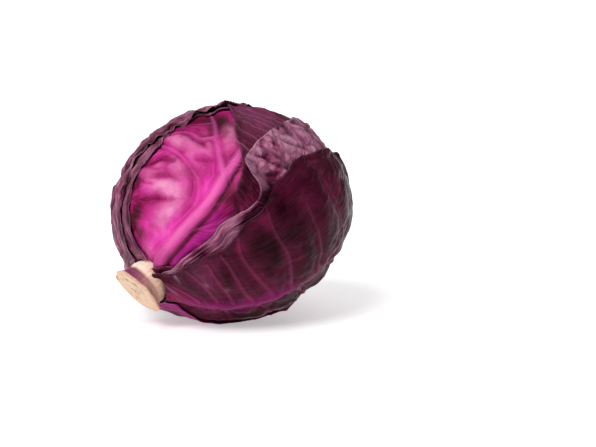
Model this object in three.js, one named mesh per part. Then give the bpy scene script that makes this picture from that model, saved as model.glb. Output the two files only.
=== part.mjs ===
// A red cabbage head, as cut from the plant: a short stump, a dense heart and eight wrapper
// leaves that overlap like roof tiles. Millimetres, +Z up, lying on its lower shoulder with
// the stump pointing to -X, towards -Y and down. The origin is the middle of the small flat
// spot that the head rests on.
import * as THREE from 'three';

// Driving dimensions. The heart's half axes are what the leaves wrap, and angles are degrees
// seen from the head's centre
const CENTRE_HEIGHT = 76.2;
const HEART_HALF_AXES = [80.6, 70, 74.4];
const HEART_CLEARANCE = 0.35;
const LONG_AXIS_TILT = 17.8;
const FACE_PITCH = 10;
const REST_ANGLE = 15;

// Leaves: thickness, spacing of the layers, and how a layer drapes over the margins under it
const LEAF_THICKNESS = 0.8;
const LEAF_GAP = 1.12;
const STALK_GAP = 0.45;
const STALK_REACH = 26;
const DRAPE_START = 5.5;
const DRAPE_REACH = 7;
const COVER_FADE = 6;
const RIDE_REACH = 5.5;
const RIDE_SAMPLES = 8;
const LEAF_PLANE_ANGLE = 85;
const LEAF_BASE_ANGLE = 12.1;
const LEAF_BASE_STEP = 0.2;

// Blade relief: where the puffed cells begin and end, how wide the lifted margin is, how many
// ruffles it has, and where all of it fades out towards the stalk
const CELL_START = 14;
const CELL_MARGIN = 10;
const LIFT_WIDTH = 5;
const RUFFLE_TURNS = 7;
const STALK_END = -78;
const STALK_FADE = 30;

// Stem: direction, the core's cone and tip, and the cut face of the stump
const STEM_DIRECTION = [-0.694, -0.604, 0.39];
const STEM_HOLLOW_DEPTH = 0.085;
const STEM_HOLLOW_REACH = 28;
const STEM_CONE_ANGLE = 11.3;
const CORE_TIP = 30;
const SOCKET_DEPTHS = [66, 50, CORE_TIP + 3];
const CUT_FACE_DISTANCE = 92;
const CUT_FACE_RADIUS = 19.2;
const CUT_FACE_LEAN = [-0.107, -0.043];
const CUT_LEAN_START = 84;

// Fineness of the round bodies
const HEART_RINGS = 17;
const HEART_SEGMENTS = 34;
const STEM_SEGMENTS = 28;

const DEGREE = Math.PI / 180;
const CENTRE = new THREE.Vector3(0, 0, CENTRE_HEIGHT);

// Axes of the head: the shown side faces -Y and a little up, and the long axis rises to +X
const across = new THREE.Vector3(1, 0, 0);
const facing = new THREE.Vector3(0, -Math.cos(FACE_PITCH * DEGREE), Math.sin(FACE_PITCH * DEGREE));
const upward = new THREE.Vector3(0, Math.sin(FACE_PITCH * DEGREE), Math.cos(FACE_PITCH * DEGREE));
const combine = (a, u, b, v, c, w) =>
  u.clone().multiplyScalar(a).addScaledVector(v, b).addScaledVector(w, c);
const tilt = LONG_AXIS_TILT * DEGREE;
const heartAxes = [
  combine(Math.cos(tilt), across, Math.sin(tilt), upward, 0, facing),
  combine(-Math.sin(tilt), across, Math.cos(tilt), upward, 0, facing),
  facing,
];

// Axes of the stem: azimuth 0 is the side that is turned up
const stemAxis = combine(STEM_DIRECTION[0], across, STEM_DIRECTION[1], upward, STEM_DIRECTION[2], facing)
  .normalize();
const stemUp = new THREE.Vector3(0, 0, 1).addScaledVector(stemAxis, -stemAxis.z).normalize();
const stemSide = new THREE.Vector3().crossVectors(stemAxis, stemUp);

function polarDirection(fromStem, azimuth) {
  const s = Math.sin(fromStem * DEGREE);
  return combine(
    Math.cos(fromStem * DEGREE), stemAxis,
    s * Math.cos(azimuth * DEGREE), stemUp,
    s * Math.sin(azimuth * DEGREE), stemSide,
  );
}

const clamp01 = (t) => Math.min(1, Math.max(0, t));
const smooth = (t) => clamp01(t) ** 2 * (3 - 2 * clamp01(t));
const bell = (t) => Math.exp(-t * t);

// Leaves, from the innermost to the outermost. Each outline is drawn on a flat map of the
// sphere, in degrees: x to the right and y away from the stem, from a point on the leaf's
// middle line. The right side runs from base to tip and the left side from tip to base.
const LEAVES = [
  {
    name: 'leaf_front', colour: 0xb0287c, azimuth: -60, clasp: 62, cells: 18, middle: [0, 2], tip: [-6, 96],
    right: [[28, -68], [48, -45], [62, -15], [66, 20], [56, 55], [30, 84]],
    left: [[-40, 86], [-66, 60], [-84, 28], [-90, -8], [-82, -38], [-62, -60], [-38, -72]],
    rib: { rise: 3.8, width: 6, bend: -0.0018, from: -74, to: 40 },
    puff: 1.3, spacing: 15, lean: -0.12, lift: 0, ruffle: 0,
  },
  {
    name: 'leaf_crown', colour: 0x6d2350, azimuth: 150, clasp: 55, cells: 16, middle: [0, 12], tip: [0, 112],
    right: [[30, -62], [52, -30], [64, 8], [62, 48], [42, 86]],
    left: [[-42, 86], [-62, 48], [-64, 8], [-52, -30], [-30, -62]],
    rib: { rise: 1.6, width: 5, bend: 0, from: -74, to: 60 },
    puff: 1.0, spacing: 17, lean: 0.5, lift: 0.4, ruffle: 0.4,
  },
  {
    name: 'leaf_left', colour: 0x7c2f5c, azimuth: 70, clasp: 70, cells: 18, middle: [2, 2], tip: [22, 94],
    right: [[21, -83], [30, -72], [37, -65], [43, -58], [49, -50], [53, -42], [57, -33], [63, -27],
      [65, -18], [64, -6], [64, 8], [67, 25], [68, 44], [52, 76]],
    left: [[-14, 90], [-44, 72], [-62, 42], [-68, 8], [-62, -26], [-44, -54], [-30, -68]],
    rib: { rise: 2.2, width: 5, bend: 0, from: -74, to: 50 },
    puff: 1.5, spacing: 16, lean: 0.7, lift: 1.4, ruffle: 0.6,
  },
  {
    name: 'leaf_top', colour: 0x6a1742, azimuth: -105, clasp: 60, cells: 20, middle: [-4, 22], tip: [4, 130],
    right: [[26, -66], [44, -40], [58, -8], [66, 28], [66, 64], [44, 104]],
    left: [[-44, 120], [-76, 96], [-90, 72], [-88, 50], [-80, 32], [-72, 18], [-64, 11], [-58, 6],
      [-53, 0], [-49, -6], [-44, -12], [-38, -17], [-31, -24], [-27, -36], [-21, -50]],
    rib: { rise: 1.8, width: 5, bend: 0, from: -74, to: 60 },
    puff: 1.2, spacing: 17, lean: 0.6, lift: 0.8, ruffle: 0.5,
  },
  {
    name: 'leaf_right', colour: 0x8a4a6c, azimuth: -135, clasp: 66, cells: 20, middle: [-6, 10], tip: [-14, 104],
    right: [[30, -64], [50, -38], [62, -4], [62, 32], [46, 70], [20, 96]],
    left: [[-36, 99], [-54, 84], [-76, 60], [-87, 35], [-89, 16], [-87, 4], [-81, 2], [-74, 1],
      [-69, -3], [-66, -12], [-65, -22], [-62, -33], [-57, -39], [-51, -49], [-42, -60],
      [-31, -68]],
    rib: { rise: 1.8, width: 5, bend: 0, from: -74, to: 60 },
    puff: 2.0, spacing: 13, lean: 0.5, lift: 1.6, ruffle: 0.9,
  },
  {
    name: 'leaf_outer_left', colour: 0x6f3354, azimuth: 95, clasp: 70, cells: 18, middle: [8, 0], tip: [14, 84],
    right: [[20, -77], [38, -72], [54, -61], [66, -46], [75, -30], [84, -14], [91, 6], [90, 30],
      [74, 58], [46, 76]],
    left: [[-18, 76], [-42, 58], [-56, 30], [-60, 0], [-54, -30], [-42, -54], [-30, -68]],
    rib: { rise: 2.4, width: 5, bend: 0, from: -74, to: 50 },
    puff: 1.6, spacing: 15, lean: 0.7, lift: 2.8, ruffle: 0.5,
  },
  {
    name: 'leaf_under', colour: 0x5c1438, azimuth: -130, clasp: 74, cells: 18, middle: [2, 0], tip: [6, 80],
    right: [[34, -62], [50, -38], [60, -8], [60, 22], [48, 52], [30, 72]],
    left: [[-22, 74], [-46, 56], [-61, 35], [-64, 17], [-62, 3], [-59, -4], [-57, -12], [-55, -20],
      [-51, -26], [-47, -32], [-44, -41], [-41, -49], [-33, -60], [-24, -67]],
    rib: { rise: 2.2, width: 5, bend: 0, from: -74, to: 45 },
    puff: 1.4, spacing: 16, lean: 0.6, lift: 3.2, ruffle: 0.8,
  },
  {
    name: 'leaf_back', colour: 0x641c44, azimuth: 155, clasp: 74, cells: 18, middle: [2, 4], tip: [4, 88],
    right: [[32, -62], [46, -38], [54, -8], [56, 24], [48, 56], [30, 78]],
    left: [[-20, 80], [-38, 58], [-45, 28], [-42, -4], [-39, -34], [-30, -58]],
    rib: { rise: 2.4, width: 5.5, bend: 0, from: -74, to: 50 },
    puff: 1.4, spacing: 16, lean: 0.6, lift: 1.6, ruffle: 1.2,
  },
];

// Flat map of one leaf: equal distances and true directions from the map's middle
function addMap(leaf) {
  leaf.out = polarDirection(LEAF_PLANE_ANGLE, leaf.azimuth);
  leaf.away = polarDirection(LEAF_PLANE_ANGLE + 90, leaf.azimuth);
  leaf.right90 = new THREE.Vector3().crossVectors(leaf.away, leaf.out);
}

function fromMap(leaf, x, y) {
  const reach = Math.max(Math.hypot(x, y), 1e-9);
  const s = Math.sin(reach * DEGREE) / reach;
  return combine(Math.cos(reach * DEGREE), leaf.out, s * x, leaf.right90, s * y, leaf.away);
}

function toMap(leaf, direction) {
  const x = direction.dot(leaf.right90);
  const y = direction.dot(leaf.away);
  const side = Math.max(Math.hypot(x, y), 1e-9);
  const reach = Math.atan2(side, direction.dot(leaf.out)) / DEGREE / side;
  return [x * reach, y * reach];
}

// Outline of one leaf as a closed smooth curve, with points evenly spaced on each side. The
// base follows a circle round the stem, a little wider for each leaf further out
function addOutline(leaf, order) {
  const baseAngle = LEAF_BASE_ANGLE + LEAF_BASE_STEP * order;
  const basePoint = (share) => toMap(leaf, polarDirection(baseAngle, leaf.azimuth + share * leaf.clasp));
  const points = [
    basePoint(0), basePoint(-0.5), basePoint(-1), ...leaf.right,
    leaf.tip, ...leaf.left, basePoint(1), basePoint(0.5),
  ].map(([x, y]) => new THREE.Vector3(x, y, 0));
  const curve = new THREE.CatmullRomCurve3(points, true, 'centripetal');
  const tipShare = (3 + leaf.right.length) / points.length;
  const evenly = (from, to, count) => {
    const fine = 12 * count;
    const dense = Array.from({ length: fine + 1 }, (_, i) => curve.getPoint(from + (to - from) * (i / fine)));
    const run = [0];
    for (let i = 1; i <= fine; i++) run.push(run[i - 1] + dense[i].distanceTo(dense[i - 1]));
    const picked = [];
    let at = 0;
    for (let i = 0; i < count; i++) {
      const wanted = (run[fine] * i) / count;
      while (run[at + 1] < wanted) at += 1;
      const share = (wanted - run[at]) / (run[at + 1] - run[at]);
      picked.push(dense[at].clone().lerp(dense[at + 1], share));
    }
    return picked;
  };
  const sideCount = 4 * leaf.cells;
  leaf.outline = [...evenly(0, tipShare, sideCount), ...evenly(tipShare, 1, sideCount)].map((point) => {
    const direction = fromMap(leaf, point.x, point.y);
    const fromStem = Math.acos(direction.dot(stemAxis)) / DEGREE;
    if (fromStem >= baseAngle) return [point.x, point.y];
    const azimuth = Math.atan2(direction.dot(stemSide), direction.dot(stemUp)) / DEGREE;
    return toMap(leaf, polarDirection(baseAngle, azimuth));
  });
}

// Distance from a map point to the outline, positive inside the leaf
function inset(leaf, [x, y]) {
  let nearest = Infinity;
  let inside = false;
  const count = leaf.outline.length;
  for (let i = 0; i < count; i++) {
    const [ax, ay] = leaf.outline[i];
    const [bx, by] = leaf.outline[(i + 1) % count];
    const dx = bx - ax;
    const dy = by - ay;
    const share = clamp01(((x - ax) * dx + (y - ay) * dy) / (dx * dx + dy * dy));
    nearest = Math.min(nearest, Math.hypot(x - ax - share * dx, y - ay - share * dy));
    if (ay > y !== by > y && x < ax + (dx * (y - ay)) / dy) inside = !inside;
  }
  return inside ? nearest : -nearest;
}

// Midrib: a ridge on the outer face along the middle line, highest near the stem
function ribHeight(leaf, x, y) {
  const { rise, width, bend, from, to } = leaf.rib;
  const along = clamp01((y - from) / (to - from));
  const line = bend * (y - from) ** 2;
  return rise * (1 - along) * bell((x - line) / (width * (1 - 0.5 * along)));
}

// Blade relief: cells puffed out between the side veins, and a lifted, ruffled margin
function bladeHeight(leaf, x, y, edge) {
  const phase = (y - leaf.lean * Math.abs(x)) / leaf.spacing;
  const cell = Math.sin(Math.PI * phase) ** 2 * smooth(Math.abs(x) / CELL_START) * smooth(edge / CELL_MARGIN);
  const turn = Math.atan2(x, y) * RUFFLE_TURNS;
  const wave = 1 + leaf.ruffle * Math.sin(turn) * Math.sin(2.3 * turn + 1);
  const margin = Math.exp(-Math.max(edge, 0) / LIFT_WIDTH);
  return (leaf.puff * cell + leaf.lift * wave * margin) * smooth((y - STALK_END) / STALK_FADE);
}

// Radius that the leaves wrap: an egg shape with a shallow hollow round the stem
function heartRadius(direction, fromStem) {
  const egg = 1 / Math.hypot(...heartAxes.map((axis, i) => direction.dot(axis) / HEART_HALF_AXES[i]));
  return egg * (1 - STEM_HOLLOW_DEPTH * bell(fromStem / STEM_HOLLOW_REACH));
}

// What every leaf does in one direction from the head's centre. Relief fades out where an
// upper leaf covers it and round the flat spot that the head rests on
function survey(direction) {
  const rows = LEAVES.map((leaf) => {
    const place = toMap(leaf, direction);
    return { place, edge: inset(leaf, place) };
  });
  const fromFloor = Math.acos(-direction.z) / DEGREE;
  let shown = smooth((fromFloor - REST_ANGLE) / REST_ANGLE);
  for (let k = LEAVES.length - 1; k >= 0; k--) {
    const row = rows[k];
    const [x, y] = row.place;
    row.rib = ribHeight(LEAVES[k], x, y) * shown;
    row.blade = bladeHeight(LEAVES[k], x, y, row.edge) * shown;
    row.cover = smooth((row.edge + DRAPE_START + DRAPE_REACH) / DRAPE_REACH);
    shown *= 1 - smooth(row.edge / COVER_FADE);
  }
  return rows;
}

// Inner and outer radius of each layer. A layer rides on the highest relief close by on the
// layers under it, and the whole stack is pressed flat where the head rests
function layers(direction) {
  const here = survey(direction);
  const around = [here];
  const sideways = new THREE.Vector3(-direction.y, direction.x, 0).normalize();
  for (let i = 0; i < RIDE_SAMPLES; i++) {
    const axis = sideways.clone().applyAxisAngle(direction, (2 * Math.PI * i) / RIDE_SAMPLES);
    around.push(survey(direction.clone().applyAxisAngle(axis, RIDE_REACH * DEGREE)));
  }
  const highest = (order) => Math.max(...around.map((rows) => rows[order].rib + rows[order].blade));
  const fromStem = Math.acos(direction.dot(stemAxis)) / DEGREE;
  const gap = LEAF_GAP + STALK_GAP * bell(fromStem / STALK_REACH);
  const found = [];
  let radius = heartRadius(direction, fromStem);
  const heart = radius - HEART_CLEARANCE;
  let top = radius;
  here.forEach(({ rib, blade, cover, edge }, order) => {
    const inner = radius + gap + blade;
    const outer = inner + LEAF_THICKNESS + rib;
    found.push({ inner, outer });
    if (edge > 0) top = outer;
    radius += cover * (gap + LEAF_THICKNESS + highest(order));
  });
  const floorRadius = direction.z < -0.5 ? CENTRE_HEIGHT / -direction.z : Infinity;
  const pressed = Math.max(0, top - floorRadius);
  return {
    heart: heart - pressed,
    leaves: found.map(({ inner, outer }) => ({ inner: inner - pressed, outer: outer - pressed })),
  };
}

const pointAt = (direction, radius) => direction.clone().multiplyScalar(radius).add(CENTRE);

function solid(points, triangles) {
  const geometry = new THREE.BufferGeometry();
  geometry.setAttribute('position', new THREE.Float32BufferAttribute(points.flatMap((p) => p.toArray()), 3));
  geometry.setIndex(triangles.flat());
  geometry.computeVertexNormals();
  return geometry;
}

// One leaf: a square grid wrapped onto the outline, with the outer and inner face cut into
// triangles alike and a narrow rim between them
function leafGeometry(order) {
  const leaf = LEAVES[order];
  const cells = leaf.cells;
  const edgePoint = (turn) => {
    const count = leaf.outline.length;
    const at = (((turn / (2 * Math.PI) + 0.25) % 1) + 1) % 1 * count;
    const [ax, ay] = leaf.outline[Math.floor(at) % count];
    const [bx, by] = leaf.outline[(Math.floor(at) + 1) % count];
    const share = at - Math.floor(at);
    return [ax + (bx - ax) * share, ay + (by - ay) * share];
  };
  const outer = [];
  const inner = [];
  for (let j = 0; j <= cells; j++) {
    for (let i = 0; i <= cells; i++) {
      const a = (2 * i) / cells - 1;
      const b = (2 * j) / cells - 1;
      const ring = Math.max(Math.abs(a), Math.abs(b));
      const sideways = Math.abs(a) >= Math.abs(b);
      const quarter = Math.PI / 4;
      let turn = 0;
      if (ring > 0 && sideways) turn = (b / a) * quarter + (a < 0 ? Math.PI : 0);
      if (ring > 0 && !sideways) turn = Math.PI / 2 - (a / b) * quarter + (b < 0 ? Math.PI : 0);
      const [ex, ey] = edgePoint(turn);
      const x = leaf.middle[0] + ring * (ex - leaf.middle[0]);
      const y = leaf.middle[1] + ring * (ey - leaf.middle[1]);
      const direction = fromMap(leaf, x, y);
      const layer = layers(direction).leaves[order];
      outer.push(pointAt(direction, layer.outer));
      inner.push(pointAt(direction, layer.inner));
    }
  }
  const side = cells + 1;
  const innerStart = side * side;
  const triangles = [];
  for (let j = 0; j < cells; j++) {
    for (let i = 0; i < cells; i++) {
      const [p, q, r, s] = [j * side + i, j * side + i + 1, (j + 1) * side + i + 1, (j + 1) * side + i];
      const rising = (i < cells / 2) === (j < cells / 2);
      const pair = rising ? [[p, q, r], [p, r, s]] : [[p, q, s], [q, r, s]];
      for (const [u, v, w] of pair) {
        triangles.push([u, v, w], [innerStart + u, innerStart + w, innerStart + v]);
      }
    }
  }
  const rim = [];
  for (let i = 0; i < cells; i++) rim.push(i);
  for (let j = 0; j < cells; j++) rim.push(j * side + cells);
  for (let i = cells; i > 0; i--) rim.push(cells * side + i);
  for (let j = cells; j > 0; j--) rim.push(j * side);
  rim.forEach((u, k) => {
    const v = rim[(k + 1) % rim.length];
    triangles.push([u, innerStart + v, v], [u, innerStart + u, innerStart + v]);
  });
  return solid([...outer, ...inner], triangles);
}

// A closed skin over rings of points between two end points
function ringSolid(start, rings, end) {
  const count = rings[0].length;
  const points = [start, ...rings.flat(), end];
  const last = points.length - 1;
  const triangles = [];
  for (let i = 0; i < count; i++) {
    const next = (i + 1) % count;
    triangles.push([0, 1 + next, 1 + i]);
    for (let k = 0; k + 1 < rings.length; k++) {
      const [a, b] = [1 + k * count, 1 + (k + 1) * count];
      triangles.push([a + i, b + next, b + i], [a + i, a + next, b + next]);
    }
    triangles.push([last, last - count + i, last - count + next]);
  }
  return solid(points, triangles);
}

// The heart: the tight inner leaves as one body, with a socket for the core
function heartGeometry() {
  const ring = (fromStem, radiusOf) => Array.from({ length: HEART_SEGMENTS }, (_, i) => {
    const direction = polarDirection(fromStem, (360 * i) / HEART_SEGMENTS);
    return pointAt(direction, radiusOf(direction));
  });
  const outerRadius = (direction) => layers(direction).heart;
  const rings = [];
  for (let k = 0; k < HEART_RINGS; k++) {
    const fromStem = 180 - (180 - LEAF_BASE_ANGLE) * ((k + 1) / HEART_RINGS);
    rings.push(ring(fromStem, outerRadius));
  }
  for (const depth of SOCKET_DEPTHS) rings.push(ring(LEAF_BASE_ANGLE, () => depth));
  const crown = polarDirection(180, 0);
  return ringSolid(pointAt(crown, outerRadius(crown)), rings, pointAt(stemAxis, CORE_TIP - 1));
}

// The stem: the core that tapers into the heart, and the stump with its leaning cut face
function stemGeometry() {
  const cone = Math.tan(STEM_CONE_ANGLE * DEGREE);
  const lobes = (azimuth) => 1 + 0.035 * Math.cos(2 * azimuth - 0.9) + 0.025 * Math.cos(5 * azimuth + 0.4);
  const profile = [
    { along: CORE_TIP + 1, radius: 3.2, lobed: 0 },
    { along: 38, radius: 38 * cone, lobed: 0 },
    { along: 54, radius: 54 * cone, lobed: 0 },
    { along: 70, radius: 70 * cone, lobed: 0 },
    { along: 82, radius: 81 * cone, lobed: 0.2 },
    { along: 87.5, radius: 16.2, lobed: 0.5 },
    { along: CUT_FACE_DISTANCE - 1.6, radius: CUT_FACE_RADIUS - 0.6, lobed: 1 },
    { along: CUT_FACE_DISTANCE - 0.5, radius: CUT_FACE_RADIUS - 0.2, lobed: 1 },
    { along: CUT_FACE_DISTANCE, radius: CUT_FACE_RADIUS - 1, lobed: 1 },
    { along: CUT_FACE_DISTANCE - 0.3, radius: 9, lobed: 1 },
  ];
  const rings = profile.map(({ along, radius, lobed }) => Array.from({ length: STEM_SEGMENTS }, (_, i) => {
    const azimuth = (2 * Math.PI * i) / STEM_SEGMENTS;
    const r = radius * (1 + lobed * (lobes(azimuth) - 1));
    const [u, v] = [r * Math.cos(azimuth), r * Math.sin(azimuth)];
    const lean = smooth((along - CUT_LEAN_START) / (CUT_FACE_DISTANCE - 2 - CUT_LEAN_START));
    const z = along - lean * (u * CUT_FACE_LEAN[0] + v * CUT_FACE_LEAN[1]);
    return combine(z, stemAxis, u, stemUp, v, stemSide).add(CENTRE);
  }));
  return ringSolid(pointAt(stemAxis, CORE_TIP), rings, pointAt(stemAxis, CUT_FACE_DISTANCE - 0.5));
}

function piece(name, geometry, colour, roughness) {
  const material = new THREE.MeshStandardMaterial({ color: colour, roughness, metalness: 0 });
  const mesh = new THREE.Mesh(geometry, material);
  mesh.name = name;
  return mesh;
}

LEAVES.forEach(addMap);
LEAVES.forEach(addOutline);

const head = new THREE.Group();
head.add(piece('stem', stemGeometry(), 0xe1c3a5, 0.8));
head.add(piece('heart', heartGeometry(), 0x7a2456, 0.5));
LEAVES.forEach((leaf, order) => {
  head.add(piece(leaf.name, leafGeometry(order), leaf.colour, 0.45));
});

export default head;
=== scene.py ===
import bpy
import numpy as np
from mathutils import Matrix


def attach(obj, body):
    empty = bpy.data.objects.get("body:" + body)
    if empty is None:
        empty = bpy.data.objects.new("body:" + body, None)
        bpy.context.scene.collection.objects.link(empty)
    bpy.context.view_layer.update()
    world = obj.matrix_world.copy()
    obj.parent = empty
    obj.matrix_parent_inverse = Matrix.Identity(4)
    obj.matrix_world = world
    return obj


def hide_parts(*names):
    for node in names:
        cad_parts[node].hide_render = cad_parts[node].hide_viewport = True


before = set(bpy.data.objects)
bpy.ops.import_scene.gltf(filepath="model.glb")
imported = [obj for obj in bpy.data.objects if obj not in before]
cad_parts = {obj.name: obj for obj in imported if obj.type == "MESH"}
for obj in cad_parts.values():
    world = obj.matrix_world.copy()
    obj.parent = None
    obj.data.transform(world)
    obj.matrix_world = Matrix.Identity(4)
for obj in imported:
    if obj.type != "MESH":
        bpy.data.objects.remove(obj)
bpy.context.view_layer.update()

# Camera, light and floor. A red cabbage head lies on a white table, seen with a long lens from
# a little above its middle. One wide soft light stands behind the camera's left shoulder, and a
# weaker one above. Lengths are in millimetres until they are written to an object.
CENTRE = np.array([0.0, 0.0, 76.2])
CAMERA_PITCH = np.radians(10)
CAMERA_DISTANCE = 1300
LIGHT_DISTANCE = 1500
MM_PER_PIXEL = 0.73
PICTURE_SIZE = np.array([596, 447])
HEAD_PIXEL = np.array([228.2, 213.3])
SENSOR_WIDTH = 36
CLIP_END_METRES = 100
ROOM_STRENGTH = 0.32
FLOOR_HALF = 30.0
FLOOR_ROUGHNESS = 0.3
FLOOR_GLOW = 0.4

across = np.array([1.0, 0.0, 0.0])
facing = np.array([0.0, -np.cos(CAMERA_PITCH), np.sin(CAMERA_PITCH)])
upward = np.array([0.0, np.sin(CAMERA_PITCH), np.cos(CAMERA_PITCH)])
aside = (PICTURE_SIZE / 2 - HEAD_PIXEL) * MM_PER_PIXEL
camera_place = CENTRE + CAMERA_DISTANCE * facing + aside[0] * across - aside[1] * upward


def turned_to(columns, place):
    """A matrix with three axes as its columns and a place in millimetres."""
    matrix = Matrix([[float(c[row]) for c in columns] for row in range(3)]).to_4x4()
    matrix.translation = [float(v) / 1000 for v in place]
    return matrix


scene = bpy.context.scene
camera_data = bpy.data.cameras.new("camera")
camera_data.sensor_width = SENSOR_WIDTH
camera_data.lens = CAMERA_DISTANCE / MM_PER_PIXEL / PICTURE_SIZE[0] * SENSOR_WIDTH
camera_data.clip_end = CLIP_END_METRES
camera = bpy.data.objects.new("camera", camera_data)
camera.matrix_world = turned_to((across, upward, facing), camera_place)
scene.collection.objects.link(camera)
scene.camera = camera
scene.view_settings.view_transform = "Standard"


def linear(code):
    """A colour written as six hex digits, as linear red, green, blue and 1: each share is raised
    to the power 2.4 after 0.055 is added, as screens do."""
    shares = [int(code[i:i + 2], 16) / 255 for i in (0, 2, 4)]
    return [s / 12.92 if s < 0.04 else ((s + 0.055) / 1.055) ** 2.4 for s in shares] + [1]


def soft_light(name, strength, direction, spread):
    """A light that shines from a direction towards the head, as wide as its spread in degrees."""
    data = bpy.data.lights.new(name, "SUN")
    data.energy = strength
    data.angle = np.radians(spread)
    light = bpy.data.objects.new(name, data)
    back = np.array(direction, float) / np.linalg.norm(direction)
    side = np.cross([0.0, 0.0, 1.0], back)
    side = side / np.linalg.norm(side)
    light.matrix_world = turned_to((side, np.cross(back, side), back), CENTRE + LIGHT_DISTANCE * back)
    scene.collection.objects.link(light)


soft_light("key_light", 2.6, (-0.5, -0.7, 1.0), 32)
soft_light("top_light", 0.7, (0.3, 0.2, 1.0), 70)

world = bpy.data.worlds.new("studio")
world.use_nodes = True
world.node_tree.nodes["Background"].inputs["Color"].default_value = linear("ffffff")
world.node_tree.nodes["Background"].inputs["Strength"].default_value = ROOM_STRENGTH
scene.world = world


def wire(tree, made, sources):
    """Each named input of a node is set to a number, a colour, or another node's output."""
    for socket, source in sources.items():
        if isinstance(source, bpy.types.NodeSocket):
            tree.links.new(source, made.inputs[socket])
        else:
            made.inputs[socket].default_value = linear(source) if isinstance(source, str) else source


def shader(name):
    """A new material with its node tree, and the node tree's shader."""
    material = bpy.data.materials.new(name)
    material.use_nodes = True
    return material, material.node_tree, material.node_tree.nodes["Principled BSDF"]


floor_mesh = bpy.data.meshes.new("floor")
floor_mesh.from_pydata(
    [(-FLOOR_HALF, -FLOOR_HALF, 0), (FLOOR_HALF, -FLOOR_HALF, 0),
     (FLOOR_HALF, FLOOR_HALF, 0), (-FLOOR_HALF, FLOOR_HALF, 0)], [], [(0, 1, 2, 3)])
floor = bpy.data.objects.new("floor", floor_mesh)
scene.collection.objects.link(floor)
floor_paint, tree, shade = shader("white_table")
wire(tree, shade, {"Base Color": "fbfafb", "Roughness": FLOOR_ROUGHNESS, "Emission Color": "ffffff",
                   "Emission Strength": FLOOR_GLOW})
floor_mesh.materials.append(floor_paint)

# Heart. The dense ball of inner leaves that fills the head, here one closed egg with a shallow
# hollow round the stem and a socket that the stem stands in. The wrapper leaves hide it.
LONG_AXIS_TILT = np.radians(17.8)
HEART_HALF_AXES = np.array([80.6, 70.0, 74.4])
STEM_HOLLOW_DEPTH = 0.085
STEM_HOLLOW_REACH = 28
STEM_AXIS = (-0.694, -0.604, 0.39)
HEART_RINGS = 90
HEART_SEGMENTS = 150
SOCKET_ANGLE = 11.9
SOCKET_DEPTH = 33
SOCKET_RINGS = 23
HEART_FAR_ANGLE = 178

heart_axes = np.stack([
    across * np.cos(LONG_AXIS_TILT) + upward * np.sin(LONG_AXIS_TILT),
    upward * np.cos(LONG_AXIS_TILT) - across * np.sin(LONG_AXIS_TILT),
    facing,
])


def unit(vector):
    """The vector divided by its length."""
    return vector / np.linalg.norm(vector, axis=-1, keepdims=True)


def smooth(t):
    """Three t squared less two t cubed, with t held between 0 and 1."""
    t = np.clip(t, 0, 1)
    return t * t * (3 - 2 * t)


def bell(t):
    """e to the power of minus t squared."""
    return np.exp(-t * t)


stem_axis = unit(STEM_AXIS[0] * across + STEM_AXIS[1] * upward + STEM_AXIS[2] * facing)
stem_up = unit(np.array([0.0, 0.0, 1.0]) - stem_axis * stem_axis[2])
stem_side = np.cross(stem_axis, stem_up)


def polar_direction(from_stem, azimuth):
    """cos(a) times the stem axis plus sin(a) times the side direction at that azimuth."""
    a, p = np.radians(from_stem)[..., None], np.radians(azimuth)[..., None]
    return np.cos(a) * stem_axis + np.sin(a) * (np.cos(p) * stem_up + np.sin(p) * stem_side)


def angle_from_stem(direction):
    """The angle in degrees whose cosine is the direction's part along the stem."""
    return np.degrees(np.arccos(np.clip(direction @ stem_axis, -1, 1)))


def heart_radius(direction):
    """Radius of an egg with three half axes, less a bell-shaped hollow round the stem."""
    egg = 1 / np.linalg.norm(direction @ heart_axes.T / HEART_HALF_AXES, axis=-1)
    hollow = STEM_HOLLOW_DEPTH * bell(angle_from_stem(direction) / STEM_HOLLOW_REACH)
    return egg * (1 - hollow)


def joined(*parts):
    """The parts side by side as the columns of points."""
    return np.stack(np.broadcast_arrays(*parts), -1)


def grid_quads(rows, columns, closed):
    """The corners of each square between neighbouring rows and columns of a grid of points. A
    closed grid joins its last column to its first."""
    row = np.arange(rows - 1)[:, None] * columns
    column = np.arange(columns if closed else columns - 1)[None, :]
    after = (column + 1) % columns
    corners = joined(row + column, row + after, row + columns + after, row + columns + column)
    return corners.reshape(-1, 4)


def add_piece(name, node, points, faces, paint, **marks):
    """One mesh in the head's place, with a number or a vector per point for each mark, that rides
    on the part's body and stands for a solid of the part."""
    mesh = bpy.data.meshes.new(name)
    mesh.from_pydata((points / 1000).astype(np.float32), [], [f.tolist() for f in faces])
    for mark, values in marks.items():
        kind, field = ("FLOAT", "value") if values.ndim == 1 else ("FLOAT_VECTOR", "vector")
        layer = mesh.attributes.new(mark, kind, "POINT")
        layer.data.foreach_set(field, values.astype(np.float32).ravel())
    mesh.polygons.foreach_set("use_smooth", np.ones(len(mesh.polygons), bool))
    mesh.materials.append(paint)
    mesh.update()
    piece = bpy.data.objects.new(name, mesh)
    scene.collection.objects.link(piece)
    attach(piece, "root")
    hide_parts(node)
    return piece


def closed_by_fans(first, grid, last):
    """A tube of rings with a point at each end, as points and faces that look outwards."""
    rings, segments = grid.shape[:2]
    points = np.vstack([first[None], grid.reshape(-1, 3), last[None]])
    ring = np.arange(segments)
    after = (ring + 1) % segments
    end = 1 + (rings - 1) * segments
    start_fan = joined(0, 1 + ring, 1 + after)
    end_fan = joined(end + after, end + ring, len(points) - 1)
    walls = 1 + grid_quads(rings, segments, True)[:, [0, 3, 2, 1]]
    return points, [*start_fan, *walls, *end_fan]


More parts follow.
